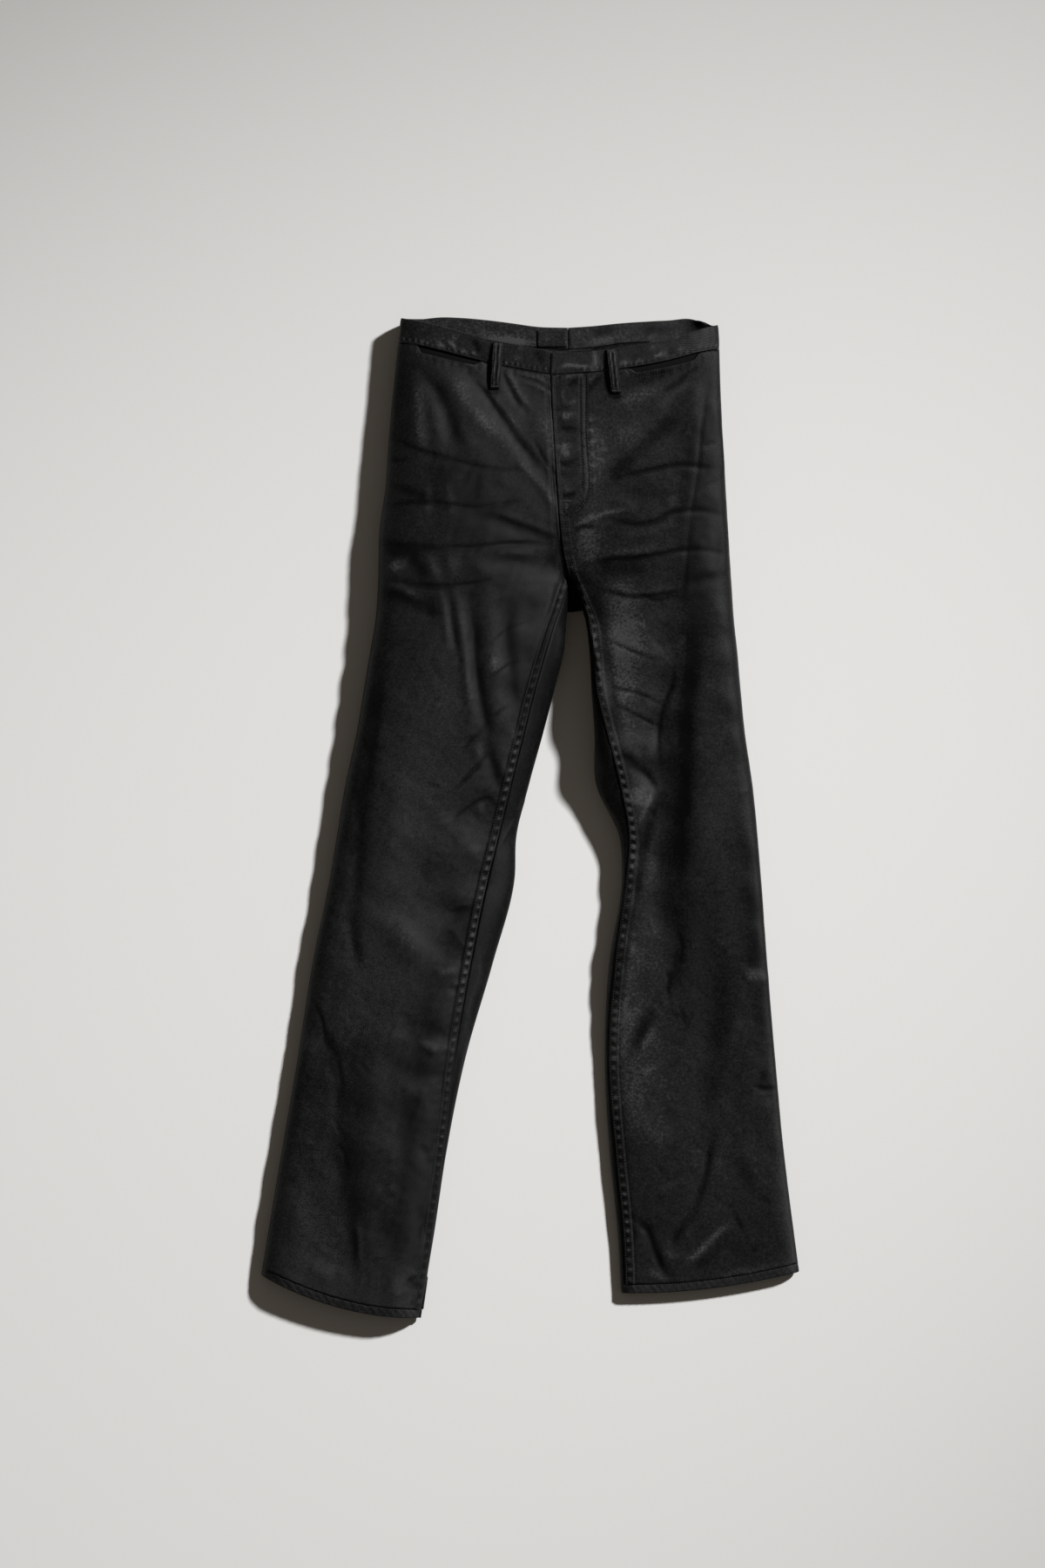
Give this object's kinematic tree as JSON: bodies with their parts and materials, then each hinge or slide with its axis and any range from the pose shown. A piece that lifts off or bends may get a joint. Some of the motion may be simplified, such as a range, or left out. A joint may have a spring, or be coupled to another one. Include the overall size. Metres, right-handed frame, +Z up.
{
  "type": "coated jeans",
  "caption": "Straight-leg black coated jeans laid face up and softly filled, with a concealed fly, belt loops, slit pockets under the waistband and turned hems.",
  "frame": {"origin": "under the middle of the outline, on the surface that the jeans lie on", "axes": "+X to the wearer's left, +Y from the hems to the waist, +Z up from the surface, out of the front of the jeans"},
  "size_m": [0.6156, 1.1478, 0.0579],
  "materials": {
    "coated_denim": "black denim with a semi-gloss waxed coating",
    "inner_denim": "matt black denim",
    "thread": "black sewing thread"
  },
  "bodies": {
    "root": {"front_right": "coated_denim", "front_left": "coated_denim", "back_right": "coated_denim", "back_left": "coated_denim", "waistband_right": "coated_denim", "waistband_left": "coated_denim", "hem_right": "coated_denim", "hem_left": "coated_denim", "fly_placket": "coated_denim", "belt_loop_front_right": "coated_denim", "belt_loop_front_left": "coated_denim", "belt_loop_back_right": "coated_denim", "belt_loop_back_centre": "coated_denim", "belt_loop_back_left": "coated_denim", "pocket_facing_right": "inner_denim", "pocket_facing_left": "inner_denim", "inner_patch": "inner_denim"}
  },
  "joints": []
}
